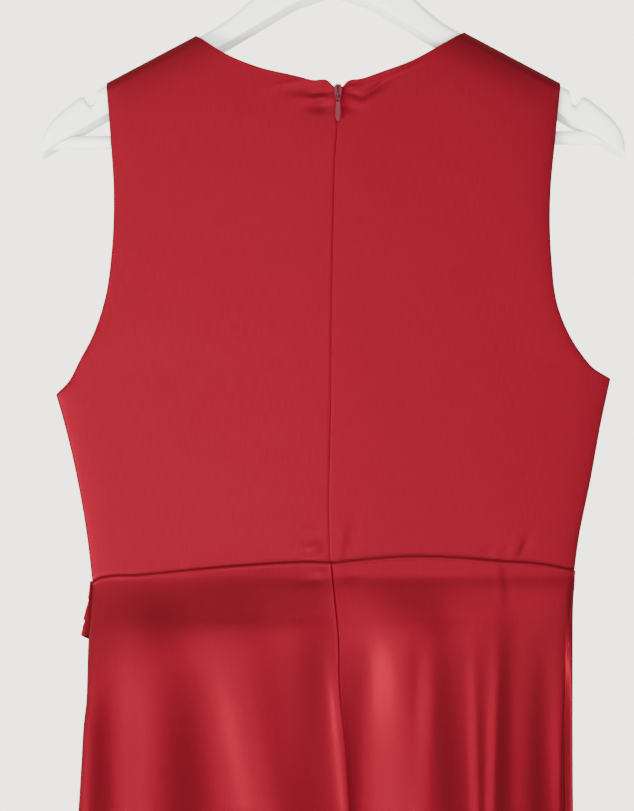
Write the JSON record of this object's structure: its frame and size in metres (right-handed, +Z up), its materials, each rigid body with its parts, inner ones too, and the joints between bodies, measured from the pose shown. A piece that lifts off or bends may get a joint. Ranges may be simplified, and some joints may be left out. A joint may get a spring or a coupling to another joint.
{
  "type": "maxi dress on hanger",
  "caption": "Long sleeveless satin dress with a fitted back bodice, concealed back zip and draped front waist, held by a wooden hanger.",
  "frame": {"origin": "inner top of the hanger's hook, where it bears on a rail", "axes": "+Z up, +X towards the wearer's right, +Y out of the front of the dress, so the back faces -Y"},
  "size_m": [0.5507, 0.1682, 1.6119],
  "materials": {
    "satin": "red satin",
    "zip_tape": "woven tape",
    "zip_enamel": "gloss dark red enamel",
    "white_wood": "white satin paint",
    "hook_steel": "polished"
  },
  "bodies": {
    "garment": {"bodice_back_left": "satin", "bodice_back_right": "satin", "bodice_front": "satin", "skirt_back_left": "satin", "skirt_back_right": "satin", "skirt_front": "satin", "waist_drape": "satin", "zip_tape": "zip_tape", "zip_slider": "zip_enamel", "hanger_body": "white_wood", "trouser_bar": "white_wood", "hanger_hook": "hook_steel"},
    "pull_tab": {"zip_pull_tab": "zip_enamel"}
  },
  "joints": [
    {"name": "pull_tab_swing", "type": "hinge", "parent": "garment", "child": "pull_tab", "pos_m": [0.00342, -0.02367, -0.1945], "axis": [-1, 0, 0], "range_deg": [0, 130]}
  ]
}
